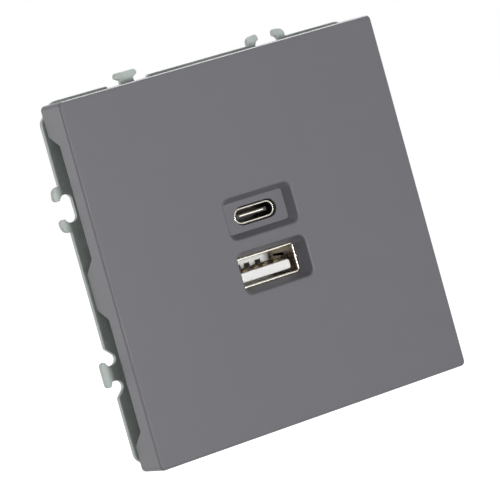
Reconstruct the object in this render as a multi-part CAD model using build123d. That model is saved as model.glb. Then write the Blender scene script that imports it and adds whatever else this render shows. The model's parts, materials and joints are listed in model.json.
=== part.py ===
from build123d import *
import os
from math import cos, radians, tan

# Charging socket for a flush wall box, with a USB-C port above a USB-A port.
# A moulded cover pulls off a stamped steel support plate. Behind the plate, a closed
# housing holds the power supply, and two claws swing out to grip the wall box.
# Frame: X to the right, Y into the wall, Z up, origin in the middle of the wall plane.
# All sizes are in millimetres.

# Support plate, and its couplings to the next device
gang_pitch = 71.0           # centre distance of two devices side by side
gang_gap = 0.1              # air between two coupled plates
sheet = 1.0                 # steel thickness
corner_cut = 3.3            # 45 degree cut at each corner
corner_round = 2.0          # blends at the ends of that cut
coupled_turns = (0, 90, 270)  # sides with a tee and hooks, turned from the top side
coupling_offset = 15.75     # tee and hooks, from the middle of a side
coupling_play = 0.25        # air around a tee inside a pair of hooks
tee_reach = 1.8             # tee and hooks, beyond the plate's edge
tee_head = 4.8              # width of the tee's head
tee_neck = 2.9              # width of the tee's neck
tee_round = 0.7             # radius of the head's ends
relief_round = 1.2          # radius of the notches beside the neck and of the hooks' gap
relief_inset = 0.4          # centre of the notches, inside the plate's edge
hook_tip = 0.75             # radius of the hooks' tips
hook_back = 1.3             # radius of the hooks' backs
hook_back_out = 0.4         # centre of that radius, beside the gap
hook_back_drop = 0.12       # the hooks' backs, below the tips
hook_lip = 0.6              # the hooks' gap, past the plate's edge
gap_round_share = 0.49      # most of the gap's depth that its corners may take up
box_screw_circle = 60.0     # the wall box's screws
box_screw_hole = 4.0        # diameter

# Front cover
cover_side = 70.0           # width and height
cover_depth = 7.3           # front face to the skirt's deep edge
cover_wall = 2.2            # front wall
cover_corner = 0.95         # radius of the corners, seen from the front
cover_edge = 0.45           # radius around the front face
skirt_wall = 1.8
skirt_gap = 0.3             # air between the skirt's deep edge and the plate
notch_depth = 3.8           # front face to the skirt's shallow edge
notch_from = 5.8            # start of a shallow stretch, from the middle of a side
notch_end = 7.8             # end of a shallow stretch, from the cover's corner
notch_slope_lead = 2.1      # run of the slope at its clockwise end, seen from the front
notch_slope_trail = 2.8     # run of the slope at its other end
notch_round = 0.8           # where a slope meets the deep edge
notch_corner = 0.4          # where a slope meets the shallow edge
notch_match = 0.05          # tolerance when its corner edges are picked out
leg_width = 5.0             # the four legs that plug into the front housing
leg_thick = 1.6
leg_inset = 1.25            # middle of a leg, inside the outer face of the housing's rim
leg_z = 13.0
leg_tip_gap = 0.6           # air past the end of a leg
leg_fit = 0.12              # air around a leg

# Port recesses in the cover
port_pitch = 10.4           # between the two ports
well_width = 15.35          # mouth of a recess
well_height = 8.05
well_round = 1.4
well_edge = 0.4             # radius around the mouth
well_wall = 1.3             # plastic around a recess
shell_fit = 0.15            # air around the USB-A shell, in the cover and the housing
usb_c_floor_depth = 2.05    # front face to the floor of the USB-C recess
usb_c_floor_width = 13.3
usb_c_floor_height = 5.9
usb_c_floor_wall = 1.0
usb_c_floor_round = 0.55
usb_c_fit = 0.34            # air around the USB-C shell in that floor
usb_a_taper_depth = 2.9     # front face to the end of the USB-A recess's slope
usb_a_neck = 0.6            # straight hole behind the slope

# USB-A receptacle, standing on the board
usb_a_depth = 3.1           # front face to the shell's front edge
usb_a_length = 13.9         # shell, from its front edge to the board
usb_a_width = 12.5          # inside the shell
usb_a_height = 5.12
usb_a_wall = 0.3
usb_a_round = 0.35          # inner corners of the shell
usb_a_cavity = 9.2          # front edge to the back of the cavity
usb_a_base_fit = 0.05       # air between the insulator's base and the shell
tongue_width = 11.1
tongue_thick = 1.84
tongue_lift = 0.7           # air under the tongue
tongue_setback = 1.0        # the shell's front edge to the tongue's end
tongue_round = 0.25         # edges of the tongue's end
tongue_corner = 0.45        # its corners, seen from the front
contact_width = 1.0
contact_thick = 0.25
contact_setback = 1.6       # the tongue's end to a contact's end
contact_bow = 0.32          # rise of a contact above the tongue
contact_ramp = 2.3          # a contact's end to the top of its rise
contact_slot = 1.05         # height of the slot that a contact leaves the base by
contact_inner = 1.0         # inner contacts, from the middle
contact_outer = 3.5
spring_length = 5.0         # the shell's holding springs
spring_width = 1.5
spring_slit = 0.45          # slit around a spring
spring_bow = 0.3
spring_crest = 1.75         # a spring's free end to the top of its bow
spring_setback = 2.6        # front edge to a spring's free end
spring_offset = 3.4         # the springs in the upper wall, from the middle

# USB-C receptacle, standing on the board
usb_c_depth = 2.65          # front face to the shell's front edge
usb_c_width = 8.34          # inside the shell
usb_c_height = 2.56
usb_c_wall = 0.2
usb_c_cavity = 6.2
blade_width = 6.69
blade_thick = 0.7
blade_setback = 0.95        # the shell's front edge to the blade's end
midplate_thick = 0.2
midplate_side = 0.65        # blade beside the steel mid plate
pad_count = 12              # contacts on each face of the blade
pad_pitch = 0.5
pad_width = 0.26
pad_thick = 0.08
pad_setback = 2.6           # the blade's end to a contact's end

# Housing
body_width = 36.0
body_height = 42.0
body_depth = 27.0           # behind the wall plane
body_wall = 1.6
back_wall = 1.8
body_round = 2.0
spigot_wall = 1.4           # rim of the front housing, inside the rear one
spigot_fit = 0.15
plate_fit = 0.3             # air between the rim and the plate's opening
flange_thick = 1.8
flange_side = 3.5           # flange past the body's sides
flange_edge = 0.4           # radius around the flange's front and the lugs' rear
lug_height = 5.0            # lugs above and below the body
lug_width = 30.0
lug_thick = 2.0
lug_round = 2.0
post_side = 3.0             # corner posts under the board
board_fit = 0.3             # air around the board
board_thick = 1.6
board_gap = 0.1             # air between the front housing's rim and the board
vent_count = 6              # slots in the top of the housing
vent_pitch = 3.6
vent_width = 1.3
vent_length = 9.0
vent_margin = 3.0           # slots, from the back wall

# Screws that hold the two housings on the plate
housing_screw_offset = 10.0
housing_screw_radius = 1.2
housing_screw_head = 2.1
housing_screw_head_height = 1.6
head_round = 0.4            # rounded edge of all screw heads
housing_boss = 2.4
housing_boss_height = 2.0
housing_boss_end = 0.7      # plastic past the end of the screw
thread_fit = 0.05           # air around a thread
hole_fit = 0.3              # air around a screw in a plain hole

# Claws, their screws, nuts and pins
claw_body_gap = 2.2         # pivot, from the housing's side
claw_arm = 4.8              # screw to pivot
claw_pivot_y = 5.0
claw_sheet = 1.2
claw_width = 7.0
claw_hub = 1.9
claw_length = 15.5          # pivot to the end of the leg
claw_tooth = 1.9            # teeth, beyond the leg
claw_tooth_length = 3.0
claw_fork_angle = 15.0      # slope of the fork at rest
claw_fork_length = 7.6
claw_fork_start = 2.5       # pivot to the start of the fork's slot
claw_fit = 0.05             # air around the pin
claw_side_gap = 0.25        # air between the claw and its ears
ear_thick = 1.8
ear_radius = 2.2
pin_radius = 1.0
pin_fit = 0.02
metric_radius = 1.5         # the machine screws
metric_head = 2.5
metric_head_height = 1.8
drive_width = 0.9           # cross recess
drive_length = 3.2
drive_depth = 1.0
claw_nut_radius = 2.2
claw_nut_length = 6.4
claw_nut_edge = 0.4         # chamfer at the nut's ends
claw_nut_gap = 0.1          # air between nut and fork at rest
claw_screw_spare = 1.5      # screw past the nut

# Terminals: the screw draws a brass cage up to a fixed strip
terminal_pitch = 10.0
terminal_width = 21.0
terminal_height = 10.0
terminal_gap = 0.1          # air between the block and the housing
cage_width = 6.4
cage_height = 7.6
cage_wall = 1.2
cage_thread_wall = 1.6
cage_side = 1.0
cage_lift = 1.0             # cage above the board at rest
cage_fit = 0.2              # air around the cage in its chamber
wire_least = 0.4            # space left for a wire when the cage is drawn up
wire_width = 3.8
wire_fit = 0.25             # the housing's wire entry, around the block's
strip_thick = 0.9
strip_width = 3.2
strip_gap = 0.1             # air between the strip and the cage
strip_foot = 0.9            # strip past the block
terminal_seat = 0.8         # plastic under the screw's head
terminal_head_fit = 0.2
terminal_head_gap = 1.1     # air between a screw's head and the back wall
driver_hole = 2.1           # radius of the screwdriver holes
driver_lead = 0.5           # chamfer around them
wire_wall_gap = 0.3         # chamber, past the cage's travel

# Parts of the power supply
core_length = 16.4          # transformer core
core_height = 14.8
core_thick = 5.0
core_yoke = 2.2
core_leg = 2.1
core_centre = 4.0
core_margin = 1.4           # core from the board's edge
bobbin_wall = 0.5
bobbin_flange = 0.9
bobbin_gap = 0.1            # air between bobbin and core
bobbin_side_gap = 0.2       # air between the bobbin's flanges and the core's outer legs
winding_step = 0.5          # winding below the flange's edge
winding_rise = 2.9          # winding beyond the core's face
bulk_radius = 4.0           # input capacitors
bulk_end_gap = 2.2          # air between these capacitors and the back wall
bulk_margin = 2.6           # from the board's side
can_edge = 0.6              # rounded edge of the capacitor cans
output_radius = 3.15        # output capacitor
output_height = 9.0
output_margin = 1.9
safety_radius = 4.2         # safety capacitor
safety_thick = 3.4
safety_lift = 0.6
safety_edge = 1.0
safety_gap = 2.4
lead_radius = 0.35
lead_spread = 2.5
choke_radius = 3.2          # input choke
choke_height = 7.5
choke_flange = 1.2
choke_waist = 0.6
fuse_radius = 1.5
fuse_length = 8.0
fuse_side = 7.6             # its middle, from the board's side
fuse_lift = 0.2
chip_z = 12.5               # chips and fuse on the board's front, from the middle
bridge_side = 6.6           # rectifier's middle, from the board's side
bridge_width = 6.0
bridge_height = 5.0
bridge_thick = 2.2
chip_side = 5.6             # charge controllers' middles, from the board's sides
chip_width = 5.0
chip_height = 4.0
chip_thick = 1.5
chip_edge = 0.3

# Places that follow from the sizes above
plate_half = (gang_pitch - gang_gap) / 2
skirt_y = -sheet - skirt_gap
front_y = skirt_y - cover_depth
cover_back_y = front_y + cover_wall
flange_y = -sheet - flange_thick
usb_c_z = port_pitch / 2
usb_a_z = -port_pitch / 2
usb_a_y = front_y + usb_a_depth
usb_c_y = front_y + usb_c_depth
board_y = usb_a_y + usb_a_length
board_back_y = board_y + board_thick
inner_width = body_width - 2 * body_wall
inner_height = body_height - 2 * body_wall
inner_back_y = body_depth - back_wall
board_width = inner_width - 2 * board_fit
board_height = inner_height - 2 * board_fit
spigot_width = inner_width - 2 * spigot_fit
spigot_height = inner_height - 2 * spigot_fit
usb_a_outer_width = usb_a_width + 2 * usb_a_wall
usb_a_outer_height = usb_a_height + 2 * usb_a_wall
usb_c_outer_width = usb_c_width + 2 * usb_c_wall
usb_c_outer_height = usb_c_height + 2 * usb_c_wall
housing_screw_z = (body_height + lug_height) / 2
leg_x = spigot_width / 2 - leg_inset
claw_pivot_x = body_width / 2 + claw_body_gap
claw_screw_x = claw_pivot_x + claw_arm
claw_nut_y = (
    claw_pivot_y
    + claw_arm * tan(radians(claw_fork_angle))
    + (claw_sheet / 2 + claw_nut_radius) / cos(radians(claw_fork_angle))
    + claw_nut_gap
)
terminal_floor_z = terminal_gap - inner_height / 2
terminal_top_z = terminal_floor_z + terminal_height
terminal_z = (terminal_floor_z + terminal_top_z) / 2
cage_y = board_back_y + cage_lift
terminal_head_y = inner_back_y - terminal_head_gap - metric_head_height
chamber_end_y = terminal_head_y - terminal_seat

# The cage's chamber holds the cage, the strip in it and the cage's travel
cage_solid = cage_wall + strip_thick + strip_gap + cage_thread_wall
chamber_spare = chamber_end_y - wire_wall_gap - cage_y - cage_solid
wire_space = (chamber_spare + wire_least) / 2
cage_travel = wire_space - wire_least
strip_y = cage_y + cage_wall + wire_space
cage_thread_y = strip_y + strip_thick + strip_gap
cage_end_y = chamber_end_y - wire_wall_gap - cage_travel

# Two columns on the back of the board, spread evenly above the terminals
left_top_z = inner_height / 2 - post_side
left_gap = (left_top_z - terminal_top_z - core_height - 2 * output_radius) / 3
fuse_x = board_width / 2 - fuse_side
bridge_x = board_width / 2 - bridge_side
chip_x = board_width / 2 - chip_side
core_x = core_margin - board_width / 2 + core_length / 2
core_z = left_top_z - left_gap - core_height / 2
core_y = board_back_y + core_thick / 2 + winding_rise + winding_step
low_row_z = terminal_top_z + left_gap + output_radius
right_gap = (board_height / 2 - terminal_top_z - 4 * bulk_radius - 2 * choke_radius) / 4
bulk_x = board_width / 2 - bulk_margin - bulk_radius
bulk_height = inner_back_y - board_back_y - bulk_end_gap
bulk_top_z = board_height / 2 - right_gap - bulk_radius
bulk_low_z = bulk_top_z - 2 * bulk_radius - right_gap
choke_z = terminal_top_z + right_gap + choke_radius


def block(x_from, x_to, y_from, y_to, z_from, z_to):
    """A box between two corners."""
    middle = Pos((x_from + x_to) / 2, (y_from + y_to) / 2, (z_from + z_to) / 2)
    return middle * Box(x_to - x_from, y_to - y_from, z_to - z_from)


def slab(outline, y_from, y_to):
    """An outline drawn in X and Z, made solid between two depths."""
    return extrude(Plane.XZ.offset(-y_to) * outline, amount=y_to - y_from)


def bar(x, z, radius, y_from, y_to):
    """A round bar along Y."""
    return slab(Pos(x, z) * Circle(radius), y_from, y_to)


def frustum(near, far, y_near, y_far):
    """A body with straight walls between two outlines at two depths."""
    return loft([Plane.XZ.offset(-y_near) * near, Plane.XZ.offset(-y_far) * far], ruled=True)


def tee_reliefs():
    """Round centres of the notches beside the tee's neck, about x = 0 on the top edge."""
    reliefs = Sketch()
    for side in (-1, 1):
        x = side * (tee_neck / 2 + relief_round)
        reliefs += Pos(x, plate_half - relief_inset) * Circle(relief_round)
    return reliefs


def tee_notches():
    """The notches beside the tee, opening at 45 degrees to the plate's edge."""
    notches = tee_reliefs()
    for side in (-1, 1):
        x = tee_neck / 2 + relief_round
        z = plate_half - relief_inset
        slant_x = x + relief_round * cos(radians(45))
        slant_z = z - relief_round * cos(radians(45))
        end_x = slant_x + plate_half - slant_z
        neck_x = tee_neck / 2
        corners = [(x, z), (slant_x, slant_z), (end_x, plate_half), (neck_x, plate_half), (neck_x, z)]
        notches += make_face(Polyline(*[(side * a, b) for a, b in corners], close=True))
    return notches


def tee_outline():
    """The tee on the plate's top edge, about x = 0."""
    head_z = plate_half + tee_reach - tee_round
    root_z = plate_half - relief_inset - relief_round
    head = Pos(0, head_z) * SlotOverall(tee_head, 2 * tee_round)
    neck = Pos(0, (root_z + head_z) / 2) * Rectangle(tee_neck, head_z - root_z)
    return head + neck - tee_reliefs()


def hook_gap():
    """The gap between two hooks that takes a neighbour's tee, about x = 0."""
    floor_z = plate_half - (tee_reach - gang_gap) - coupling_play
    top_z = plate_half + hook_lip
    gap_round = min(relief_round, gap_round_share * (top_z - floor_z))
    gap = RectangleRounded(tee_head + 2 * coupling_play, top_z - floor_z, gap_round)
    return Pos(0, (floor_z + top_z) / 2) * gap


def hook_outline():
    """A pair of hooks on the plate's top edge, about x = 0."""
    tip_x = tee_neck / 2 + coupling_play + hook_tip
    tip_z = plate_half + tee_reach - hook_tip
    back_x = tee_head / 2 + coupling_play + hook_back_out
    back_z = plate_half + tee_reach - hook_back - hook_back_drop
    hooks = Sketch()
    for side in (-1, 1):
        tip = Pos(side * tip_x, tip_z) * Circle(hook_tip)
        back = Pos(side * back_x, back_z) * Circle(hook_back)
        hooks += make_hull([*tip.edges(), *back.edges()])
    return hooks


def support_plate():
    side = 2 * plate_half
    outline = Rectangle(side, side)
    outline = chamfer(outline.vertices(), corner_cut)
    outline = fillet(outline.vertices(), corner_round)
    for turn in coupled_turns:
        tee_place = Rot(0, 0, turn) * Pos(-coupling_offset, 0)
        hook_place = Rot(0, 0, turn) * Pos(coupling_offset, 0)
        outline -= tee_place * tee_notches()
        outline += tee_place * tee_outline()
        outline += hook_place * hook_outline()
        outline -= hook_place * hook_gap()
    outline -= RectangleRounded(spigot_width + 2 * plate_fit, spigot_height + 2 * plate_fit, body_round)
    for quarter in range(4):
        outline -= Rot(0, 0, 90 * quarter) * Pos(box_screw_circle / 2, 0) * Circle(box_screw_hole / 2)
    for side in (-1, 1):
        outline -= Pos(side * claw_screw_x, 0) * Circle(metric_radius + hole_fit)
    for x, z in housing_screw_places():
        outline -= Pos(x, z) * Circle(housing_screw_radius + hole_fit)
    return slab(outline, -sheet, 0)


def skirt_notch(x_from, x_to):
    """The space cut from the top skirt for the neighbour's coupling."""
    floor_y = front_y + notch_depth
    corners = [
        (x_from - notch_slope_trail, skirt_y),
        (x_from, floor_y),
        (x_to, floor_y),
        (x_to + notch_slope_lead, skirt_y),
    ]
    outline = make_face(Polyline(*corners, close=True))
    outline = fillet(outline.vertices().sort_by(Axis.Y)[:2], notch_corner)
    return Pos(0, 0, cover_side / 2 - 2 * skirt_wall) * extrude(outline, amount=3 * skirt_wall)


def is_notch_corner(edge):
    """Short edges through the skirt where a notch meets the deep edge."""
    at_deep_edge = abs(edge.center().Y - skirt_y) < notch_match
    return at_deep_edge and abs(edge.length - skirt_wall) < notch_match


def front_cover():
    cover = slab(RectangleRounded(cover_side, cover_side, cover_corner), front_y, skirt_y)
    cover = fillet(cover.faces().sort_by(Axis.Y)[0].edges(), cover_edge)
    inner = cover_side - 2 * skirt_wall
    cover -= slab(Rectangle(inner, inner), cover_back_y, skirt_y)
    notch_to = cover_side / 2 - notch_end
    notches = skirt_notch(notch_from, notch_to) + skirt_notch(-notch_to, -notch_from)
    for quarter in range(4):
        cover -= Rot(0, 90 * quarter, 0) * notches
    cover = fillet(cover.edges().filter_by(is_notch_corner), notch_round)

    boss = RectangleRounded(well_width + 2 * well_wall, well_height + 2 * well_wall, well_round + well_wall)
    usb_c_back_y = front_y + usb_c_floor_depth + usb_c_floor_wall
    usb_a_back_y = front_y + usb_a_taper_depth + usb_a_neck
    cover += slab(Pos(0, usb_c_z) * boss, front_y + cover_edge, usb_c_back_y)
    cover += slab(Pos(0, usb_a_z) * boss, front_y + cover_edge, usb_a_back_y)

    mouth = RectangleRounded(well_width, well_height, well_round)
    usb_c_floor = RectangleRounded(usb_c_floor_width, usb_c_floor_height, usb_c_floor_round)
    usb_c_floor_y = front_y + usb_c_floor_depth
    cover -= frustum(Pos(0, usb_c_z) * mouth, Pos(0, usb_c_z) * usb_c_floor, front_y, usb_c_floor_y)
    usb_c_hole = SlotOverall(usb_c_outer_width + 2 * usb_c_fit, usb_c_outer_height + 2 * usb_c_fit)
    cover -= slab(Pos(0, usb_c_z) * usb_c_hole, front_y, usb_c_back_y)

    usb_a_hole = Pos(0, usb_a_z) * usb_a_clearance()
    usb_a_slope_y = front_y + usb_a_taper_depth
    cover -= frustum(Pos(0, usb_a_z) * mouth, usb_a_hole, front_y, usb_a_slope_y)
    cover -= slab(usb_a_hole, front_y, usb_a_back_y)
    mouths = cover.faces().sort_by(Axis.Y)[0].inner_wires()
    cover = fillet([edge for wire in mouths for edge in wire.edges()], well_edge)

    for x, z in leg_places():
        leg = Pos(x, z) * Rectangle(leg_width, leg_thick)
        cover += slab(leg, cover_back_y - cover_edge, -sheet - leg_tip_gap)
    return cover


def usb_a_clearance():
    """The hole that the USB-A shell passes through, in the cover and the housing."""
    width = usb_a_outer_width + 2 * shell_fit
    height = usb_a_outer_height + 2 * shell_fit
    return RectangleRounded(width, height, usb_a_round + usb_a_wall + shell_fit)


def leg_places():
    """Middles of the cover's four legs."""
    return [(a * leg_x, b * leg_z) for a in (-1, 1) for b in (-1, 1)]


def housing_screw_places():
    """Axes of the four housing screws."""
    return [(a * housing_screw_offset, b * housing_screw_z) for a in (-1, 1) for b in (-1, 1)]


def front_housing():
    width = body_width + 2 * flange_side
    height = body_height + 2 * lug_height
    housing = slab(RectangleRounded(width, height, lug_round), flange_y, -sheet)
    housing = fillet(housing.faces().sort_by(Axis.Y)[0].edges(), flange_edge)
    rim = RectangleRounded(spigot_width, spigot_height, body_round - spigot_fit)
    rim -= RectangleRounded(spigot_width - 2 * spigot_wall, spigot_height - 2 * spigot_wall, body_round / 2)
    housing += slab(rim, flange_y, board_y - board_gap)
    boss_y = flange_y - housing_boss_height
    socket_y = cover_back_y + leg_tip_gap
    socket = Rectangle(leg_width + 2 * leg_fit, leg_thick + 2 * leg_fit)
    tower = Rectangle(leg_width + 2 * leg_fit + 2 * spigot_wall, leg_thick + 2 * leg_fit + 2 * spigot_wall)
    for x, z in leg_places():
        housing += slab(Pos(x, z) * tower, socket_y, -sheet)
        housing -= slab(Pos(x, z) * socket, socket_y, -sheet)
    for x, z in housing_screw_places():
        housing += bar(x, z, housing_boss, boss_y, -sheet)
        housing -= bar(x, z, housing_screw_radius + thread_fit, boss_y + housing_boss_end, -sheet)
    housing -= slab(Pos(0, usb_a_z) * usb_a_clearance(), flange_y, -sheet)
    usb_c_hole = SlotOverall(usb_c_outer_width + 2 * usb_c_fit, usb_c_outer_height + 2 * usb_c_fit)
    housing -= slab(Pos(0, usb_c_z) * usb_c_hole, flange_y, -sheet)
    return housing


def claw_ears():
    """The ears for the right claw's pin, on the housing's side."""
    root = Pos((claw_pivot_x + body_width / 2 - body_wall / 2) / 2, claw_pivot_y)
    outline = root * Rectangle(claw_pivot_x - body_width / 2 + body_wall / 2, 2 * ear_radius)
    outline += Pos(claw_pivot_x, claw_pivot_y) * Circle(ear_radius)
    outline -= Pos(claw_pivot_x, claw_pivot_y) * Circle(pin_radius + pin_fit)
    ear = extrude(outline, amount=ear_thick)
    ear_z = claw_width / 2 + claw_side_gap
    return Pos(0, 0, ear_z) * ear + Pos(0, 0, -ear_z - ear_thick) * ear


def rear_housing():
    housing = slab(RectangleRounded(body_width, body_height, body_round), 0, body_depth)
    back = housing.faces().sort_by(Axis.Y)[-1]
    housing = fillet(back.edges(), body_wall / 2)
    lugs = slab(RectangleRounded(lug_width, body_height + 2 * lug_height, lug_round), 0, lug_thick)
    housing += fillet(lugs.faces().sort_by(Axis.Y)[-1].edges(), flange_edge)
    inner = RectangleRounded(inner_width, inner_height, body_round / 2)
    housing -= slab(inner, 0, inner_back_y)
    for a in (-1, 1):
        for b in (-1, 1):
            post = Pos(a * (inner_width - post_side) / 2, b * (inner_height - post_side) / 2)
            post_outline = post * Rectangle(post_side, post_side)
            housing += slab(post_outline, board_back_y, inner_back_y + back_wall / 2)
            edge = Pos(a * inner_width / 2, b * inner_height / 2) * Rectangle(body_wall, body_wall)
            housing += slab(edge, board_back_y, inner_back_y)
    for x, z in housing_screw_places():
        housing -= bar(x, z, housing_screw_radius + hole_fit, 0, lug_thick)
    for side in (-1, 1):
        x = side * terminal_pitch / 2
        hole = Pos(x, terminal_z) * Circle(driver_hole)
        lead = Pos(x, terminal_z) * Circle(driver_hole + driver_lead)
        housing -= slab(hole, inner_back_y, body_depth)
        housing -= frustum(hole, lead, body_depth - driver_lead, body_depth)
        entry_width = wire_width / 2 + wire_fit
        entry_y = (cage_y + cage_wall - wire_fit, strip_y + wire_fit)
        housing -= block(x - entry_width, x + entry_width, *entry_y, -body_height / 2, terminal_floor_z)
        housing += Rot(0, 90 - 90 * side, 0) * claw_ears()
    vent_to_y = inner_back_y - vent_margin
    for count in range(vent_count):
        x = (count - (vent_count - 1) / 2) * vent_pitch
        vent = (x - vent_width / 2, x + vent_width / 2, vent_to_y - vent_length, vent_to_y)
        housing -= block(*vent, inner_height / 2, body_height / 2)
    return housing


def housing_screws():
    """Four tapping screws, from behind through lug and plate into the front housing."""
    tip_y = flange_y - housing_boss_height + housing_boss_end + hole_fit
    screws = Part()
    for x, z in housing_screw_places():
        screw = bar(x, z, housing_screw_radius, tip_y, lug_thick)
        screw += screw_head(x, z, housing_screw_head, lug_thick, lug_thick + housing_screw_head_height)
        screw -= cross_recess(x, z, lug_thick + housing_screw_head_height, -1)
        screws += screw
    return screws


def screw_head(x, z, radius, seat_y, end_y):
    """A screw's head from its seat to its rounded end."""
    head = bar(x, z, radius, min(seat_y, end_y), max(seat_y, end_y))
    rims = head.edges().filter_by(GeomType.CIRCLE).sort_by(Axis.Y)
    return fillet(rims[0] if end_y < seat_y else rims[-1], head_round)


def cross_recess(x, z, face_y, inward):
    """The cross cut into a screw's head, from its face inwards."""
    depth = sorted((face_y, face_y + inward * drive_depth))
    half = drive_length / 2
    cut = block(x - half, x + half, *depth, z - drive_width / 2, z + drive_width / 2)
    return cut + block(x - drive_width / 2, x + drive_width / 2, *depth, z - half, z + half)


def main_board():
    return slab(RectangleRounded(board_width, board_height, body_round / 2), board_y, board_back_y)


def shell_spring():
    """One holding spring of the USB-A shell and the slit around it, in a floor at z = 0."""
    curve = [
        (0, spring_bow / 2),
        (spring_crest, spring_bow),
        (spring_length, 0),
        (spring_length, -usb_a_wall),
        (spring_crest, spring_bow - usb_a_wall),
        (0, spring_bow / 2 - usb_a_wall),
    ]
    outline = Plane.YZ.offset(-spring_width / 2) * make_face(Polyline(*curve, close=True))
    leaf = extrude(outline, amount=spring_width)
    half = spring_width / 2 + spring_slit
    slit = block(-half, half, -spring_slit, spring_length, -2 * usb_a_wall, usb_a_wall)
    return leaf, slit


def usb_a_shell():
    inner = RectangleRounded(usb_a_width, usb_a_height, usb_a_round)
    outer = RectangleRounded(usb_a_outer_width, usb_a_outer_height, usb_a_round + usb_a_wall)
    shell = slab(Pos(0, usb_a_z) * (outer - inner), usb_a_y, board_y)
    leaf, slit = shell_spring()
    middle = Pos(0, usb_a_y + spring_setback, usb_a_z)
    floor = Pos(0, 0, -usb_a_height / 2)
    wall = Pos(0, 0, -usb_a_width / 2)
    places = [middle * Rot(0, turn, 0) * wall for turn in (-90, 90)]
    places += [middle * Rot(0, 180, 0) * Pos(side * spring_offset, 0, 0) * floor for side in (-1, 1)]
    for place in places:
        shell -= place * slit
        shell += place * leaf
    return shell


def contact_places():
    """The four USB-A contacts, across the tongue."""
    return (-contact_outer, -contact_inner, contact_inner, contact_outer)


def tongue_floor_z():
    return usb_a_z - usb_a_height / 2 + tongue_lift


def usb_a_insulator():
    base_y = usb_a_y + usb_a_cavity
    width = usb_a_width - 2 * usb_a_base_fit
    height = usb_a_height - 2 * usb_a_base_fit
    insulator = slab(Pos(0, usb_a_z) * RectangleRounded(width, height, usb_a_round), base_y, board_y)
    floor_z = tongue_floor_z()
    top_z = floor_z + tongue_thick
    section = RectangleRounded(tongue_width, tongue_thick, tongue_corner)
    middle = Pos(0, (floor_z + top_z) / 2)
    tongue = slab(middle * section, usb_a_y + tongue_setback, base_y)
    front = tongue.faces().sort_by(Axis.Y)[0]
    insulator += fillet(front.edges(), tongue_round)
    for x in contact_places():
        slot = contact_width / 2 + contact_thick / 2
        insulator -= block(x - slot, x + slot, base_y, board_y, top_z, top_z + contact_slot)
    return insulator


def usb_a_contacts():
    """Four sprung strips: along the tongue, bowed up near its end, into the base."""
    top_z = tongue_floor_z() + tongue_thick
    start_y = usb_a_y + tongue_setback + contact_setback
    crest_y = start_y + contact_ramp
    land_y = usb_a_y + usb_a_cavity
    line = [
        (start_y, top_z),
        (crest_y, top_z + contact_bow),
        (land_y, top_z),
        (board_y, top_z),
    ]
    upper = [(y, z + contact_thick) for y, z in reversed(line)]
    outline = make_face(Polyline(*line, *upper, close=True))
    contacts = Part()
    for x in contact_places():
        contacts += extrude(Plane.YZ.offset(x - contact_width / 2) * outline, amount=contact_width)
    return contacts


def usb_c_shell():
    ring = SlotOverall(usb_c_outer_width, usb_c_outer_height) - SlotOverall(usb_c_width, usb_c_height)
    return slab(Pos(0, usb_c_z) * ring, usb_c_y, board_y)


def usb_c_blade_y():
    return usb_c_y + blade_setback


def usb_c_insulator():
    base_y = usb_c_y + usb_c_cavity
    base = Pos(0, usb_c_z) * SlotOverall(usb_c_width, usb_c_height)
    blade = Pos(0, usb_c_z) * Rectangle(blade_width, blade_thick)
    insulator = slab(base, base_y, board_y) + slab(blade, usb_c_blade_y(), base_y)
    return insulator - usb_c_midplate()


def usb_c_midplate():
    """The steel plate inside the blade, bare at the blade's end."""
    outline = Pos(0, usb_c_z) * Rectangle(blade_width - 2 * midplate_side, midplate_thick)
    return slab(outline, usb_c_blade_y(), usb_c_y + usb_c_cavity)


def usb_c_contacts():
    """Flat contacts on both faces of the blade."""
    contacts = Part()
    start_y = usb_c_blade_y() + pad_setback
    end_y = usb_c_y + usb_c_cavity
    face = blade_thick / 2
    for count in range(pad_count):
        x = (count - (pad_count - 1) / 2) * pad_pitch
        sides = (x - pad_width / 2, x + pad_width / 2, start_y, end_y)
        contacts += block(*sides, usb_c_z + face, usb_c_z + face + pad_thick)
        contacts += block(*sides, usb_c_z - face - pad_thick, usb_c_z - face)
    return contacts


def transformer_core():
    """Two E shapes joined: a frame around a middle leg."""
    core = Rectangle(core_length, core_height)
    window_length = core_length - 2 * core_yoke
    window_height = (core_height - core_centre) / 2 - core_leg
    for side in (-1, 1):
        core -= Pos(0, side * (core_centre + window_height) / 2) * Rectangle(window_length, window_height)
    return slab(Pos(core_x, core_z) * core, core_y - core_thick / 2, core_y + core_thick / 2)


def bobbin_height():
    """Flange height: as wide as the core's windows leave room for."""
    return core_height - 2 * core_leg - 2 * bobbin_side_gap


def transformer_bobbin():
    """A square tube on the core's middle leg, with two flanges that stand on the board."""
    half = core_length / 2 - core_yoke - bobbin_gap
    half_z = core_centre / 2 + bobbin_gap
    half_y = core_thick / 2 + bobbin_gap
    outer_y = half_y + bobbin_wall
    outer_z = half_z + bobbin_wall
    tube = block(-half, half, -outer_y, outer_y, -outer_z, outer_z)
    drop = core_y - board_back_y
    for side in (-1, 1):
        x = side * (half - bobbin_flange / 2)
        flange = Pos(x, 0, 0) * Box(bobbin_flange, 2 * drop, bobbin_height())
        tube += flange
    tube -= block(-half, half, -half_y, half_y, -half_z, half_z)
    return Pos(core_x, core_y, core_z) * tube


def transformer_winding():
    half = core_length / 2 - core_yoke - bobbin_gap - bobbin_flange
    half_y = core_thick / 2 + winding_rise
    half_z = bobbin_height() / 2 - winding_step
    winding = block(-half, half, -half_y, half_y, -half_z, half_z)
    winding = fillet(winding.edges().filter_by(Axis.X), can_edge)
    hole_y = core_thick / 2 + bobbin_gap + bobbin_wall
    hole_z = core_centre / 2 + bobbin_gap + bobbin_wall
    winding -= block(-half, half, -hole_y, hole_y, -hole_z, hole_z)
    return Pos(core_x, core_y, core_z) * winding


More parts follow.
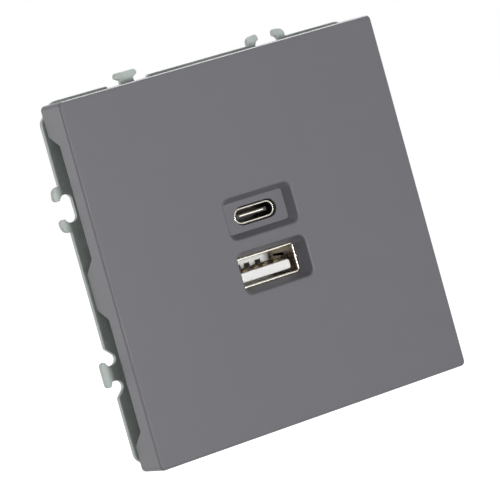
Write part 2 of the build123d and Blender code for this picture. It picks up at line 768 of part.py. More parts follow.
def can(x, z, radius, height):
    """A capacitor can standing on the back of the board."""
    body = bar(x, z, radius, board_back_y, board_back_y + height)
    return fillet(body.edges(), can_edge)


def bulk_capacitors():
    return Part() + [can(bulk_x, z, bulk_radius, bulk_height) for z in (bulk_top_z, bulk_low_z)]


def output_capacitor():
    x = output_margin - board_width / 2 + output_radius
    return can(x, low_row_z, output_radius, output_height)


def safety_capacitor():
    """An upright disc on two leads."""
    x = output_margin - board_width / 2 + 2 * output_radius + safety_gap + safety_radius
    y = board_back_y + safety_lift + safety_radius
    disc = Pos(x, y, low_row_z) * Cylinder(safety_radius, safety_thick)
    disc = fillet(disc.edges(), safety_edge)
    for side in (-1, 1):
        disc += bar(x + side * lead_spread, low_row_z, lead_radius, board_back_y, y)
    return disc


def input_choke():
    """A drum with a wound waist."""
    top_y = board_back_y + choke_height
    choke = bar(bulk_x, choke_z, choke_radius - choke_waist, board_back_y, top_y)
    choke += bar(bulk_x, choke_z, choke_radius, board_back_y, board_back_y + choke_flange)
    return choke + bar(bulk_x, choke_z, choke_radius, top_y - choke_flange, top_y)


def input_fuse():
    """A round fuse lying along X on two leads, on the front of the board."""
    y = board_y - fuse_lift - fuse_radius
    body = Pos(fuse_x, y, chip_z) * Rot(0, 90, 0) * Cylinder(fuse_radius, fuse_length)
    body = fillet(body.edges(), can_edge)
    for side in (-1, 1):
        body += bar(fuse_x + side * lead_spread, chip_z, lead_radius, y, board_y)
    return body


def chip(x, z, width, height, thick):
    """A moulded package on the front of the board."""
    body = slab(Pos(x, z) * Rectangle(width, height), board_y - thick, board_y)
    return chamfer(body.faces().sort_by(Axis.Y)[0].edges(), chip_edge)


def rectifier():
    return chip(-bridge_x, chip_z, bridge_width, bridge_height, bridge_thick)


def charge_controllers():
    return Part() + [chip(side * chip_x, -chip_z, chip_width, chip_height, chip_thick) for side in (-1, 1)]


def terminal_block():
    half = terminal_width / 2
    body = block(-half, half, board_back_y, inner_back_y - terminal_gap, terminal_floor_z, terminal_top_z)
    for side in (-1, 1):
        x = side * terminal_pitch / 2
        half_x = cage_width / 2 + cage_fit
        half_z = cage_height / 2 + cage_fit
        chamber_z = (terminal_z - half_z, terminal_z + half_z)
        body -= block(x - half_x, x + half_x, board_back_y, chamber_end_y, *chamber_z)
        entry = (x - wire_width / 2, x + wire_width / 2, cage_y + cage_wall, strip_y)
        body -= block(*entry, terminal_floor_z, terminal_z)
        body -= bar(x, terminal_z, metric_radius + hole_fit, chamber_end_y, inner_back_y)
        body -= bar(x, terminal_z, metric_head + terminal_head_fit, terminal_head_y, inner_back_y)
        slot = strip_width / 2 + strip_gap
        slot_y = (strip_y - strip_gap, strip_y + strip_thick + strip_gap)
        body -= block(x - slot, x + slot, *slot_y, terminal_z, terminal_top_z)
    return body


def terminal_strips():
    """Two fixed strips, from inside the cages to the board."""
    strips = Part()
    end_z = terminal_top_z + strip_gap + strip_foot
    for side in (-1, 1):
        x = side * terminal_pitch / 2
        sides = (x - strip_width / 2, x + strip_width / 2)
        flat = block(*sides, strip_y, strip_y + strip_thick, terminal_z - cage_height / 2, end_z)
        foot = block(*sides, board_back_y, strip_y + strip_thick, end_z - strip_foot, end_z)
        strips += flat + foot
    return strips


def terminal_cage(side):
    x = side * terminal_pitch / 2
    half_x = cage_width / 2
    window_x = half_x - cage_side
    ends_z = (terminal_z - cage_height / 2, terminal_z + cage_height / 2)
    cage = block(x - half_x, x + half_x, cage_y, cage_end_y, *ends_z)
    cage -= block(x - window_x, x + window_x, cage_y + cage_wall, cage_thread_y, *ends_z)
    return cage - bar(x, terminal_z, metric_radius + thread_fit, cage_thread_y, cage_end_y)


def terminal_screw(side):
    x = side * terminal_pitch / 2
    head_end_y = terminal_head_y + metric_head_height
    screw = bar(x, terminal_z, metric_radius, cage_thread_y, terminal_head_y)
    screw += screw_head(x, terminal_z, metric_head, terminal_head_y, head_end_y)
    return screw - cross_recess(x, terminal_z, head_end_y, -1)


def claw(side):
    """A pressed lever: a toothed leg, and a fork that the nut draws towards the plate."""
    half = claw_width / 2
    lever = Cylinder(claw_hub, claw_width)
    lever += block(-claw_sheet / 2, claw_sheet / 2, 0, claw_length, -half, half)
    slot = metric_radius + hole_fit
    window_end = claw_length - claw_tooth_length - claw_sheet
    lever -= block(-claw_sheet / 2, claw_sheet / 2, claw_fork_start, window_end, -slot, slot)
    fork = block(0, claw_fork_length, -claw_sheet / 2, claw_sheet / 2, -half, half)
    fork -= block(claw_fork_start, claw_fork_length, -claw_sheet / 2, claw_sheet / 2, -slot, slot)
    lever += Rot(0, 0, claw_fork_angle) * fork
    profile = [
        (0, claw_length - claw_tooth_length),
        (claw_sheet / 2, claw_length - claw_tooth_length),
        (claw_sheet / 2 + claw_tooth, claw_length),
        (0, claw_length),
    ]
    tooth = extrude(make_face(Polyline(*profile, close=True)), amount=claw_width)
    gap = [
        (claw_sheet / 2, -half / 2),
        (claw_sheet / 2 + claw_tooth, -half),
        (claw_sheet / 2 + claw_tooth, half),
        (claw_sheet / 2, half / 2),
    ]
    between = Plane.XZ.offset(-claw_length) * make_face(Polyline(*gap, close=True))
    lever += Pos(0, 0, -half) * tooth - extrude(between, amount=claw_tooth_length)
    lever -= Cylinder(pin_radius + claw_fit, claw_width)
    return Rot(0, 90 - 90 * side, 0) * Pos(claw_pivot_x, claw_pivot_y, 0) * lever


def claw_pins():
    length = claw_width + 2 * claw_side_gap + 2 * ear_thick
    pin = Pos(claw_pivot_x, claw_pivot_y, 0) * Cylinder(pin_radius, length)
    return Part() + [pin, Rot(0, 180, 0) * pin]


def claw_screw(side):
    x = side * claw_screw_x
    head_y = -sheet - metric_head_height
    screw = screw_head(x, 0, metric_head, -sheet, head_y)
    screw += bar(x, 0, metric_radius, -sheet, claw_nut_y + claw_nut_radius + claw_screw_spare)
    return screw - cross_recess(x, 0, head_y, 1)


def claw_nut(side):
    """A round cross nut that bears on both prongs of the fork."""
    x = side * claw_screw_x
    nut = Cylinder(claw_nut_radius, claw_nut_length)
    nut = Pos(x, claw_nut_y, 0) * chamfer(nut.edges().filter_by(GeomType.CIRCLE), claw_nut_edge)
    bore_y = (claw_nut_y - claw_nut_radius, claw_nut_y + claw_nut_radius)
    return nut - bar(x, 0, metric_radius + thread_fit, *bore_y)


nodes = {
    "front_cover": front_cover(),
    "support_plate": support_plate(),
    "front_housing": front_housing(),
    "rear_housing": rear_housing(),
    "housing_screws": housing_screws(),
    "main_board": main_board(),
    "usb_a_shell": usb_a_shell(),
    "usb_a_insulator": usb_a_insulator(),
    "usb_a_contacts": usb_a_contacts(),
    "usb_c_shell": usb_c_shell(),
    "usb_c_insulator": usb_c_insulator(),
    "usb_c_midplate": usb_c_midplate(),
    "usb_c_contacts": usb_c_contacts(),
    "transformer_core": transformer_core(),
    "transformer_bobbin": transformer_bobbin(),
    "transformer_winding": transformer_winding(),
    "bulk_capacitors": bulk_capacitors(),
    "output_capacitor": output_capacitor(),
    "safety_capacitor": safety_capacitor(),
    "input_choke": input_choke(),
    "input_fuse": input_fuse(),
    "rectifier": rectifier(),
    "charge_controllers": charge_controllers(),
    "terminal_block": terminal_block(),
    "terminal_strips": terminal_strips(),
    "claw_pins": claw_pins(),
}
for name, side in (("left", -1), ("right", 1)):
    nodes[f"terminal_cage_{name}"] = terminal_cage(side)
    nodes[f"terminal_screw_{name}"] = terminal_screw(side)
    nodes[f"claw_{name}"] = claw(side)
    nodes[f"claw_screw_{name}"] = claw_screw(side)
    nodes[f"claw_nut_{name}"] = claw_nut(side)

os.makedirs("parts", exist_ok=True)
for name, node in nodes.items():
    export_step(node, f"parts/{name}.step")
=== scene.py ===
import json
import math

import bmesh
import bpy
import numpy as np
from mathutils import Matrix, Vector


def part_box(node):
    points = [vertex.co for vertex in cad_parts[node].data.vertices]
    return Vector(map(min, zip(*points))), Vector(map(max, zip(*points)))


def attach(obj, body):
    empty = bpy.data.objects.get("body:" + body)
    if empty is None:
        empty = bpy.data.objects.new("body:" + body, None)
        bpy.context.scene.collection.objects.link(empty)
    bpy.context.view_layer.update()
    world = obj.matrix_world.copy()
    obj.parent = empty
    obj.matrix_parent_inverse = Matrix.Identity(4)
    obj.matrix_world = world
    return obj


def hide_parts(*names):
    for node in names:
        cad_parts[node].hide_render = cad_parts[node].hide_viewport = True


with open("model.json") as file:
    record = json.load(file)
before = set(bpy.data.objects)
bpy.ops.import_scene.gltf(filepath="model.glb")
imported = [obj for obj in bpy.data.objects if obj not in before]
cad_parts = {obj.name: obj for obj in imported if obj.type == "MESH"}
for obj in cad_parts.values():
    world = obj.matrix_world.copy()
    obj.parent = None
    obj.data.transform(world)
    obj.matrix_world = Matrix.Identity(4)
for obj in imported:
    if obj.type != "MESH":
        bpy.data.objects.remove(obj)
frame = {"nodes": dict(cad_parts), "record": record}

nodes = frame["nodes"]
bodies = frame["record"]["behaviour"]["bodies"]
bodyOf = {node: body for body, members in bodies.items() for node in members}
slotOf = {part["node"]: part["material_slot"] for part in frame["record"]["subparts"]}
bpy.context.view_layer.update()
mm = 0.001      # pieces and finishes are given in mm, the camera and the room in metres
print("frame loaded,", len(nodes), "nodes")


# Camera, at the photograph's viewing angle
cameraValues = {
    "turn": -29.9313,                       # degrees about the camera's own axes
    "tilt": 3.7032,
    "roll": -15.5899,
    "place": (-0.32208, -0.56017, 0.04002),
    "lens": 246.228,
    "sensor": 36.0,
    "clip": (0.01, 50),
}


def photoCamera(values):
    turn, tilt, roll = (math.radians(values[key]) for key in ("turn", "tilt", "roll"))
    # right, down and forward for a level look along Y
    upright = Matrix(((1, 0, 0), (0, 0, -1), (0, 1, 0)))
    rows = (
        Matrix.Rotation(roll, 3, "Z")
        @ Matrix.Rotation(tilt, 3, "X")
        @ Matrix.Rotation(turn, 3, "Y")
        @ upright
    )
    lens = bpy.data.cameras.new("photo_camera")
    lens.lens = values["lens"]
    lens.sensor_width = values["sensor"]
    lens.clip_start, lens.clip_end = values["clip"]
    camera = bpy.data.objects.new("photo_camera", lens)
    axes = Matrix((rows[0], -rows[1], -rows[2])).transposed()
    camera.matrix_world = Matrix.Translation(values["place"]) @ axes.to_4x4()
    bpy.context.scene.collection.objects.link(camera)
    bpy.context.scene.camera = camera


photoCamera(cameraValues)
print("camera set")


# Small helpers for node materials
def addNode(tree, kind, inputs=None, **settings):
    node = tree.nodes.new(kind)
    for key, value in settings.items():
        setattr(node, key, value)
    for key, value in (inputs or {}).items():
        socket = node.inputs[key]
        if isinstance(value, bpy.types.NodeSocket):
            tree.links.new(value, socket)
        else:
            socket.default_value = value
    return node


def newFinish(name):
    material = bpy.data.materials.new(name)
    material.use_nodes = True
    tree = material.node_tree
    shader = next(node for node in tree.nodes if node.type == "BSDF_PRINCIPLED")
    place = addNode(tree, "ShaderNodeTexCoord").outputs["Object"]
    return material, tree, shader, place


def grain(tree, place, size, detail=2.0, stretch=(1, 1, 1)):
    stretched = addNode(tree, "ShaderNodeMapping", {"Vector": place, "Scale": stretch})
    noise = addNode(
        tree, "ShaderNodeTexNoise",
        {"Vector": stretched.outputs["Vector"], "Scale": 1 / size, "Detail": detail},
    )
    return noise.outputs["Fac"]


def spread(tree, value, low, high, fromLow=0.3, fromHigh=0.7):
    node = addNode(
        tree, "ShaderNodeMapRange",
        {"Value": value, "From Min": fromLow, "From Max": fromHigh, "To Min": low, "To Max": high},
    )
    return node.outputs["Result"]


def mixed(tree, value, first, second):
    ends = {0: value, 6: first, 7: second}      # the colour sockets of a Mix node
    return addNode(tree, "ShaderNodeMix", ends, data_type="RGBA").outputs[2]


def blend(tree, value, first, second):
    return mixed(tree, value, (*first, 1), (*second, 1))


def bump(tree, shader, height, depth):
    node = addNode(tree, "ShaderNodeBump", {"Height": height, "Distance": depth, "Strength": 1.0})
    tree.links.new(node.outputs["Normal"], shader.inputs["Normal"])


def shade(colour, factor):
    return tuple(min(1, part * factor) for part in colour)


# Plastics: a slightly mottled colour, a fine moulded grain and uneven gloss
plasticValues = {
    "cover_plastic": {
        "colour": (0.130, 0.127, 0.141), "rough": 0.43, "gloss": 0.36,
        "grain": 0.16, "depth": 0.004, "mottle": 0.03,
    },
    "housing_plastic": {
        "colour": (0.36, 0.36, 0.34), "rough": 0.45,
        "grain": 0.30, "depth": 0.006, "mottle": 0.03,
    },
    "port_white": {
        "colour": (0.87, 0.87, 0.85), "rough": 0.40,
        "grain": 0.20, "depth": 0.002, "mottle": 0.03,
    },
    "port_black": {
        "colour": (0.006, 0.006, 0.007), "rough": 0.45,
        "grain": 0.15, "depth": 0.002, "mottle": 0.2,
    },
    "bobbin_plastic": {
        "colour": (0.02, 0.02, 0.02), "rough": 0.45,
        "grain": 0.30, "depth": 0.004, "mottle": 0.2,
    },
    "package_black": {
        "colour": (0.015, 0.015, 0.016), "rough": 0.55,
        "grain": 0.10, "depth": 0.004, "mottle": 0.2,
    },
    "winding_tape": {
        "colour": (0.62, 0.40, 0.04), "rough": 0.30,
        "grain": 1.20, "depth": 0.02, "mottle": 0.1,
    },
    "can_sleeve": {
        "colour": (0.02, 0.02, 0.03), "rough": 0.30,
        "grain": 1.00, "depth": 0.004, "mottle": 0.2,
    },
    "ceramic_blue": {
        "colour": (0.02, 0.09, 0.34), "rough": 0.25,
        "grain": 1.50, "depth": 0.03, "mottle": 0.1,
    },
    "fuse_brown": {
        "colour": (0.16, 0.05, 0.02), "rough": 0.28,
        "grain": 1.50, "depth": 0.03, "mottle": 0.1,
    },
    "board_laminate": {
        "colour": (0.02, 0.13, 0.05), "rough": 0.35,
        "grain": 0.40, "depth": 0.004, "mottle": 0.15,
    },
    "ferrite": {
        "colour": (0.03, 0.03, 0.033), "rough": 0.60,
        "grain": 0.25, "depth": 0.02, "mottle": 0.2,
    },
}
# shared by all of them
mouldValues = {"cloud": 9.0, "cloudDetail": 3.0, "roughSpan": 0.04, "gloss": 0.5}


def plastic(slot):
    values = plasticValues[slot]
    material, tree, shader, place = newFinish(slot)
    cloud = grain(tree, place, mouldValues["cloud"] * mm, mouldValues["cloudDetail"])
    dark = shade(values["colour"], 1 - values["mottle"])
    light = shade(values["colour"], 1 + values["mottle"])
    tree.links.new(blend(tree, cloud, dark, light), shader.inputs["Base Color"])
    shader.inputs["Specular IOR Level"].default_value = values.get("gloss", mouldValues["gloss"])
    fine = grain(tree, place, values["grain"] * mm)
    rough, span = values["rough"], mouldValues["roughSpan"]
    tree.links.new(spread(tree, fine, rough - span, rough + span), shader.inputs["Roughness"])
    bump(tree, shader, fine, values["depth"] * mm)
    return material


# Plated and bare metals: faint streaks in colour and gloss
metalValues = {
    "port_steel": {
        "colour": (0.86, 0.82, 0.72), "rough": 0.24, "streak": 0.5, "stretch": (1, 0.1, 1),
        "inner": (0.27, 0.225, 0.155),      # painted shade: a darker colour inside the shell, past a depth, but not at the blade's height
        "innerFrom": -5.45, "innerTo": -5.10, "blade": 5.2, "bladeHalf": 0.25,
    },
    "contact_gold": {
        "colour": (0.21, 0.155, 0.08), "rough": 0.48, "streak": 0.4, "stretch": (1, 0.1, 1),
    },
    "screw_steel": {
        "colour": (0.58, 0.58, 0.57), "rough": 0.30, "streak": 0.4, "stretch": (1, 3, 1),
    },
    "claw_steel": {
        "colour": (0.52, 0.52, 0.50), "rough": 0.34, "streak": 0.5, "stretch": (1, 0.1, 1),
    },
    "terminal_brass": {
        "colour": (0.72, 0.50, 0.20), "rough": 0.32, "streak": 0.5, "stretch": (1, 1, 0.1),
    },
}
platedValues = {"tones": (0.92, 1.06), "detail": 3.0, "roughSpan": (-0.06, 0.08), "relief": 0.003}


def streaked(tree, streak, colour):
    return blend(tree, streak, *(shade(colour, tone) for tone in platedValues["tones"]))


# Mask of the painted shade inside a port shell: it rises past a depth, except at the blade's height
def deepInside(tree, place, values):
    axes = addNode(tree, "ShaderNodeSeparateXYZ", {"Vector": place}).outputs
    deep = spread(tree, axes["Y"], 0, 1, values["innerFrom"] * mm, values["innerTo"] * mm)
    level = {0: axes["Z"], 1: values["blade"] * mm, 2: values["bladeHalf"] * mm}
    blade = addNode(tree, "ShaderNodeMath", level, operation="COMPARE").outputs[0]
    both = addNode(tree, "ShaderNodeMath", {0: deep, 1: blade}, operation="SUBTRACT", use_clamp=True)
    return both.outputs[0]


def metal(slot):
    values = metalValues[slot]
    material, tree, shader, place = newFinish(slot)
    shader.inputs["Metallic"].default_value = 1.0
    streak = grain(tree, place, values["streak"] * mm, platedValues["detail"], values["stretch"])
    surface = streaked(tree, streak, values["colour"])
    # painted shade: the darker inside colour is mixed in past a depth
    if "inner" in values:
        inside = deepInside(tree, place, values)
        surface = mixed(tree, inside, surface, streaked(tree, streak, values["inner"]))
    tree.links.new(surface, shader.inputs["Base Color"])
    low, high = (values["rough"] + part for part in platedValues["roughSpan"])
    tree.links.new(spread(tree, streak, low, high), shader.inputs["Roughness"])
    bump(tree, shader, streak, platedValues["relief"] * mm)
    return material


# Galvanised sheet: pale zinc crystals of slightly different tone and gloss, under fine rolling streaks
zincValues = {
    "dark": (0.395, 0.448, 0.41),
    "light": (0.525, 0.582, 0.54),
    "cut": (0.42, 0.435, 0.43),             # bare steel of the cut edges
    "metallic": 0.05,
    "gloss": 0.30,
    "crystal": 1.5,
    "warp": 3.0,                            # size and reach of the waves in the crystals' borders
    "warpReach": 1.2,
    "streak": 0.22,
    "streakStretch": (1, 1, 0.35),
    "streakShare": 0.45,                    # of the streaks in the tone
    "rough": (0.48, 0.62),
    "ripple": 0.5,
    "rippleDepth": 0.006,
    "detail": 3.0,                          # of the streaks and the ripple
    "turned": (0.3, 0.8),                   # of the normal along Y, from a cut edge to the flat
}


def galvanised(values):
    material, tree, shader, place = newFinish("galvanised_steel")
    shader.inputs["Metallic"].default_value = values["metallic"]
    shader.inputs["Specular IOR Level"].default_value = values["gloss"]
    warp = addNode(tree, "ShaderNodeTexNoise", {"Vector": place, "Scale": 1 / (values["warp"] * mm)})
    moved = addNode(
        tree, "ShaderNodeVectorMath",
        {0: warp.outputs["Color"], 1: (values["warpReach"] * mm,) * 3, 2: place},
        operation="MULTIPLY_ADD",
    )
    crystals = addNode(
        tree, "ShaderNodeTexVoronoi",
        {"Vector": moved.outputs["Vector"], "Scale": 1 / (values["crystal"] * mm)},
    )
    patch = addNode(tree, "ShaderNodeSeparateColor", {"Color": crystals.outputs["Color"]}).outputs["Red"]
    rolled = grain(tree, place, values["streak"] * mm, values["detail"], values["streakStretch"])
    streak = spread(tree, rolled, 0, 1)
    tone = addNode(tree, "ShaderNodeMix", {0: values["streakShare"], 2: patch, 3: streak}).outputs[0]
    zinc = blend(tree, tone, values["dark"], values["light"])
    facing = addNode(tree, "ShaderNodeTexCoord").outputs["Normal"]
    depth = addNode(tree, "ShaderNodeSeparateXYZ", {"Vector": facing}).outputs["Y"]
    flat = addNode(tree, "ShaderNodeMath", {0: depth}, operation="ABSOLUTE").outputs[0]
    surface = mixed(tree, spread(tree, flat, 0, 1, *values["turned"]), (*values["cut"], 1), zinc)
    tree.links.new(surface, shader.inputs["Base Color"])
    low, high = values["rough"]
    tree.links.new(spread(tree, tone, low, high, 0, 1), shader.inputs["Roughness"])
    ripple = grain(tree, place, values["ripple"] * mm, values["detail"])
    bump(tree, shader, ripple, values["rippleDepth"] * mm)
    return material


finishes = {slot: plastic(slot) for slot in plasticValues}
finishes.update({slot: metal(slot) for slot in metalValues})
finishes["galvanised_steel"] = galvanised(zincValues)
for name, node in nodes.items():
    node.data.materials.clear()
    node.data.materials.append(finishes[slotOf[name]])
print("finishes made:", len(finishes))


# Small helpers for new pieces
def addPiece(mesh, body, slot, replaces=None, angle=35):
    mesh.materials.clear()
    mesh.materials.append(finishes[slot])
    mesh.shade_smooth()
    mesh.set_sharp_from_angle(angle=math.radians(angle))
    piece = bpy.data.objects.new(mesh.name, mesh)
    bpy.context.scene.collection.objects.link(piece)
    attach(piece, body)
    if replaces:
        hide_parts(replaces)


def gridMesh(name, points, loopRows=False, caps=False):
    rows, columns = points.shape[:2]
    row = np.arange(rows if loopRows else rows - 1)[:, None]
    column = np.arange(columns)[None, :]
    nextRow, nextColumn = (row + 1) % rows, (column + 1) % columns
    corners = np.broadcast_arrays(
        row * columns + column, row * columns + nextColumn,
        nextRow * columns + nextColumn, nextRow * columns + column,
    )
    faces = np.stack(corners, -1).reshape(-1, 4).tolist()
    if caps:
        faces += [list(range(columns))[::-1], list(range((rows - 1) * columns, rows * columns))]
    mesh = bpy.data.meshes.new(name)
    mesh.from_pydata(points.reshape(-1, 3).tolist(), [], faces)
    mesh.update()
    return mesh


def joinMeshes(name, meshes):
    work = bmesh.new()
    for mesh in meshes:
        work.from_mesh(mesh)
    bmesh.ops.recalc_face_normals(work, faces=work.faces)
    joined = bpy.data.meshes.new(name)
    work.to_mesh(joined)
    work.free()
    return joined


# Rounded rectangle: four quarter circles joined by straight lines, with the outward direction
# at each point
def roundedRing(width, height, corner, steps):
    turn = np.radians((np.arange(4)[:, None] * 90 + np.linspace(0, 90, steps)[None, :]).ravel())
    quarter = np.repeat(np.arange(4), steps)
    middleX = np.where((quarter == 0) | (quarter == 3), 1, -1) * (width / 2 - corner)
    middleZ = np.where(quarter < 2, 1, -1) * (height / 2 - corner)
    outward = np.column_stack([np.cos(turn), np.sin(turn)])
    return np.column_stack([middleX, middleZ]) + corner * outward, outward


# Stamped plate: the outline of its front, filled as a flat curve whose cut edges are slightly rounded
plateValues = {
    "round": 0.12,
    "steps": 2,
    "facing": -0.9,                         # a front face's normal along Y stays below this
    "weld": 1e-7,                           # in metres
}


def plateOutline(values):
    work = bmesh.new()
    work.from_mesh(nodes["support_plate"].data)
    bmesh.ops.remove_doubles(work, verts=work.verts, dist=values["weld"])
    hidden = [face for face in work.faces if face.normal.y > values["facing"]]
    bmesh.ops.delete(work, geom=hidden, context="FACES")
    inside = [line for line in work.edges if not line.is_boundary]
    bmesh.ops.delete(work, geom=inside, context="EDGES")
    bmesh.ops.transform(work, matrix=Matrix.Rotation(math.radians(-90), 4, "X"), verts=work.verts)
    lines = bpy.data.meshes.new("plate_outline")
    work.to_mesh(lines)
    work.free()
    outline = bpy.data.objects.new("plate_outline", lines)
    bpy.context.scene.collection.objects.link(outline)
    for other in bpy.context.selected_objects:
        other.select_set(False)
    bpy.context.view_layer.objects.active = outline
    outline.select_set(True)
    bpy.ops.object.convert(target="CURVE")
    return outline


def stampedPlate(values):
    low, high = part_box("support_plate")
    thick = high[1] - low[1]
    edge = values["round"] * mm
    outline = plateOutline(values)
    curve = outline.data
    curve.dimensions = "2D"
    curve.fill_mode = "BOTH"
    curve.extrude = thick / 2 - edge
    curve.bevel_depth = edge
    curve.bevel_resolution = values["steps"]
    curve.offset = -edge
    solid = bpy.data.meshes.new_from_object(outline.evaluated_get(bpy.context.evaluated_depsgraph_get()))
    bpy.data.objects.remove(outline)
    upright = Matrix.Rotation(math.radians(90), 4, "X")
    solid.transform(Matrix.Translation((0, (low[1] + high[1]) / 2, 0)) @ upright)
    solid.name = "support_plate_stamped"
    addPiece(solid, bodyOf["support_plate"], slotOf["support_plate"], "support_plate")


stampedPlate(plateValues)
print("plate stamped")


# Rolled front edges of the port shells: a half disc carried around the middle of the shell's wall, whose
# radius goes from that of the sides to that of the top and bottom with the square of the outward Z
rimValues = {
    "usb_a_shell": {
        "wall": 0.30, "corner": 0.50, "radius": 0.26, "sideRadius": 0.15,
        "steps": 10, "arc": 9,              # points in a corner and across the half disc
    },
    "usb_c_shell": {
        "wall": 0.20, "corner": 1.38, "radius": 0.065, "sideRadius": 0.065,
        "steps": 24, "arc": 9,
    },
}


def rolledRim(name, values):
    low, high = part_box(name)
    wall = values["wall"] * mm
    path, outward = roundedRing(
        high[0] - low[0] - wall, high[2] - low[2] - wall, values["corner"] * mm, values["steps"]
    )
    turn = np.linspace(0, math.pi, values["arc"])
    side, top = values["sideRadius"] * mm, values["radius"] * mm
    radius = side + (top - side) * outward[:, 1] ** 2
    across = path[:, None, :] - (radius[:, None] * np.cos(turn))[..., None] * outward[:, None, :]
    depth = low[1] - radius[:, None] * np.sin(turn)
    middle = np.array([low[0] + high[0], low[2] + high[2]]) / 2
    points = np.stack([across[..., 0] + middle[0], depth, across[..., 1] + middle[1]], -1)
    mesh = joinMeshes(name + "_rim", [gridMesh(name + "_bead", points, loopRows=True)])
    addPiece(mesh, bodyOf[name], slotOf[name], angle=80)


for name, values in rimValues.items():
    rolledRim(name, values)
print("shell rims rolled:", len(rimValues))


# Sprung contacts of the lower port: a rounded strip carried along the tongue, whose level rises
# in half a cosine wave to a crest near the free end and falls in another
contactValues = {
    "places": (-3.5, -1.0, 1.0, 3.5),       # across the tongue
    "width": 1.0,
    "thick": 0.25,
    "corner": 0.08,
    "cornerSteps": 4,
    "rise": 0.32,
    "crest": 2.3,                           # from the free end
    "fall": 4.3,                            # crest to the flat stretch
    "rows": 60,
}


def sprungContacts(values):
    low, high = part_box("usb_a_contacts")
    along = np.linspace(low[1], high[1], values["rows"])
    past = (along - low[1]) / mm - values["crest"]
    share = np.where(past < 0, past / values["crest"], past / values["fall"])
    lift = values["rise"] * 0.5 * (1 + np.cos(math.pi * np.clip(share, -1, 1))) * mm
    level = low[2] + values["thick"] * mm / 2 + lift
    section = roundedRing(
        values["width"] * mm, values["thick"] * mm, values["corner"] * mm, values["cornerSteps"]
    )[0]
    strips = []
    for number, place in enumerate(values["places"]):
        points = np.empty((len(along), len(section), 3))
        points[..., 0] = place * mm + section[None, :, 0]
        points[..., 1] = along[:, None]
        points[..., 2] = level[:, None] + section[None, :, 1]
        strips.append(gridMesh("contact_strip_" + str(number), points, caps=True))
    mesh = joinMeshes("usb_a_contacts_sprung", strips)
    addPiece(mesh, bodyOf["usb_a_contacts"], slotOf["usb_a_contacts"], "usb_a_contacts", angle=50)


sprungContacts(contactValues)
print("contacts bent")


# Machine screws: the head as in CAD, and a thread whose radius rises and falls once per pitch
# along a right-hand helix
threadValues = {
    "screws": ("claw_screw_left", "claw_screw_right"),
    "headEnd": -1.0,                        # depth of the seat
    "crest": 1.50,
    "root": 1.22,
    "pitch": 0.50,
    "runOut": 0.5,                          # plain stretch under the head
    "taper": 0.45,                          # cone at the tip
    "flank": 2.5,                           # steepness of a ridge, cut off at its crest and root
    "overlap": 0.02,                        # of the head over the shaft
    "weld": 1e-7,                           # in metres
    "columns": 48,
    "rowsPerPitch": 10,
}


def screwHead(name, values):
    seat = values["headEnd"] * mm
    work = bmesh.new()
    work.from_mesh(nodes[name].data)
    bmesh.ops.remove_doubles(work, verts=work.verts, dist=values["weld"])
    bmesh.ops.bisect_plane(
        work, geom=[*work.verts, *work.edges, *work.faces],
        plane_co=(0, seat + values["overlap"] * mm, 0), plane_no=(0, 1, 0), clear_outer=True,
    )
    bmesh.ops.holes_fill(work, edges=[line for line in work.edges if line.is_boundary])
    head = bpy.data.meshes.new(name + "_head")
    work.to_mesh(head)
    work.free()
    return head


def threadedShaft(name, values):
    low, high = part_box(name)
    middle = (low[0] + high[0]) / 2, (low[2] + high[2]) / 2
    seat, tip = values["headEnd"] * mm, high[1]
    rows = int((tip - seat) / (values["pitch"] * mm) * values["rowsPerPitch"])
    along = np.linspace(seat, tip, rows)[:, None] / mm
    turn = np.linspace(0, 2 * math.pi, values["columns"], endpoint=False)[None, :]
    phase = (along / values["pitch"] - turn / (2 * math.pi)) % 1
    flank, crest = values["flank"], values["crest"]
    ridge = np.clip(flank / 2 - flank * np.abs(phase - 0.5), 0, 1)      # flat crests and pointed roots
    radius = values["root"] + (crest - values["root"]) * ridge
    fade = np.clip((along - seat / mm) / values["runOut"], 0, 1)
    radius = crest + (radius - crest) * fade
    radius = np.minimum(radius, crest - values["taper"] + (tip / mm - along))
    points = np.stack([
        radius * np.sin(turn) * mm + middle[0],
        np.broadcast_to(along, radius.shape) * mm,
        radius * np.cos(turn) * mm + middle[1],
    ], -1)
    return gridMesh(name + "_shaft", points, caps=True)


def threadedScrew(name, values):
    mesh = joinMeshes(name + "_threaded", [screwHead(name, values), threadedShaft(name, values)])
    addPiece(mesh, bodyOf[name], slotOf[name], name)


for name in threadValues["screws"]:
    threadedScrew(name, threadValues)
print("threads cut:", len(threadValues["screws"]))


# Floor, white room and soft lamps: white where it is seen, and softer where it lights the object
roomValues = {
    "floor": -0.16,
    "floorSize": 8.0,
    "ambient": ((0.78, 0.78, 0.80), (0.04, 0.04, 0.041)),      # from the left and from the right
    "ambientReach": (-1.0, 0.1),
    "floorTone": 0.30,
    "glow": (0.85, 1.0),                    # under the object and far from it
    "glowReach": (0.35, 0.55),
    "lamps": {
        "front": {"from": (0.10, -1.20, -0.06), "size": 0.26, "power": 10.1},
        "left_back": {"from": (-0.95, 0.75, 0.10), "size": 0.6, "power": 6.2},
        "above": {"from": (0.62, 0.20, 1.03), "size": 0.32, "power": 18.5},
    },
}


def seenDirectly(tree):
    path = addNode(tree, "ShaderNodeLightPath")
    first = addNode(
        tree, "ShaderNodeMath",
        {0: path.outputs["Is Camera Ray"], 1: path.outputs["Is Glossy Ray"]}, operation="MAXIMUM",
    )
    both = addNode(
        tree, "ShaderNodeMath",
        {0: first.outputs[0], 1: path.outputs["Is Transmission Ray"]}, operation="MAXIMUM",
    )
    return both.outputs[0]


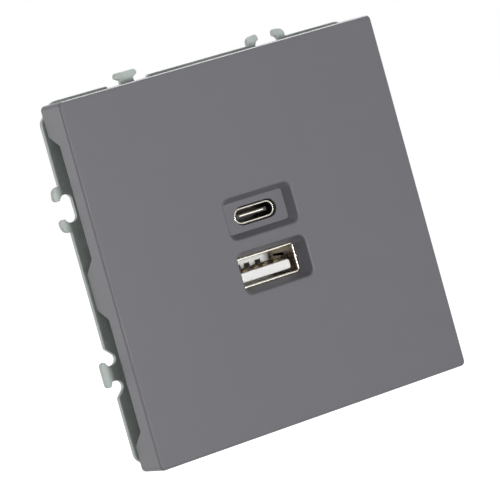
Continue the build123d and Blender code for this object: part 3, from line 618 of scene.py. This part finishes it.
def whiteRoom(values):
    world = bpy.data.worlds.new("white_room")
    bpy.context.scene.world = world
    world.use_nodes = True
    tree = world.node_tree
    backdrop = next(node for node in tree.nodes if node.type == "BACKGROUND")
    towards = addNode(tree, "ShaderNodeTexCoord").outputs["Generated"]
    across = addNode(tree, "ShaderNodeSeparateXYZ", {"Vector": towards}).outputs["X"]
    soft = blend(tree, spread(tree, across, 0, 1, *values["ambientReach"]), *values["ambient"])
    tree.links.new(mixed(tree, seenDirectly(tree), soft, (1, 1, 1, 1)), backdrop.inputs["Color"])


def floorFinish(values):
    material = bpy.data.materials.new("pale_floor")
    material.use_nodes = True
    tree = material.node_tree
    tree.nodes.clear()
    matte = addNode(tree, "ShaderNodeBsdfDiffuse", {"Color": (*[values["floorTone"]] * 3, 1)})
    place = addNode(tree, "ShaderNodeTexCoord").outputs["Object"]
    away = addNode(tree, "ShaderNodeVectorMath", {0: place}, operation="LENGTH").outputs["Value"]
    level = spread(tree, away, *values["glow"], *values["glowReach"])
    glow = addNode(tree, "ShaderNodeEmission", {"Color": (1, 1, 1, 1), "Strength": level})
    lit = addNode(tree, "ShaderNodeAddShader", {0: matte.outputs[0], 1: glow.outputs[0]})
    surface = addNode(
        tree, "ShaderNodeMixShader", {0: seenDirectly(tree), 1: matte.outputs[0], 2: lit.outputs[0]}
    )
    addNode(tree, "ShaderNodeOutputMaterial", {"Surface": surface.outputs[0]})
    return material


def paleFloor(values):
    half = values["floorSize"] / 2
    corners = np.array([(-1, -1), (1, -1), (1, 1), (-1, 1)]) * half
    places = np.column_stack([corners, np.full(4, values["floor"])])
    mesh = bpy.data.meshes.new("floor")
    mesh.from_pydata(places.tolist(), [], [(0, 1, 2, 3)])
    mesh.materials.append(floorFinish(values))
    floor = bpy.data.objects.new("floor", mesh)
    bpy.context.scene.collection.objects.link(floor)


def softLamp(name, values):
    light = bpy.data.lights.new(name, "AREA")
    light.shape = "DISK"
    light.size = values["size"]
    light.energy = values["power"]
    holder = bpy.data.objects.new(name, light)
    place = Matrix.Translation(values["from"])
    aim = (-place.translation).to_track_quat("-Z", "Y").to_matrix().to_4x4()
    holder.matrix_world = place @ aim
    bpy.context.scene.collection.objects.link(holder)


whiteRoom(roomValues)
paleFloor(roomValues)
for name, values in roomValues["lamps"].items():
    softLamp(name, values)
bpy.context.scene.view_settings.view_transform = "Standard"
print("room lit, lamps:", len(roomValues["lamps"]))
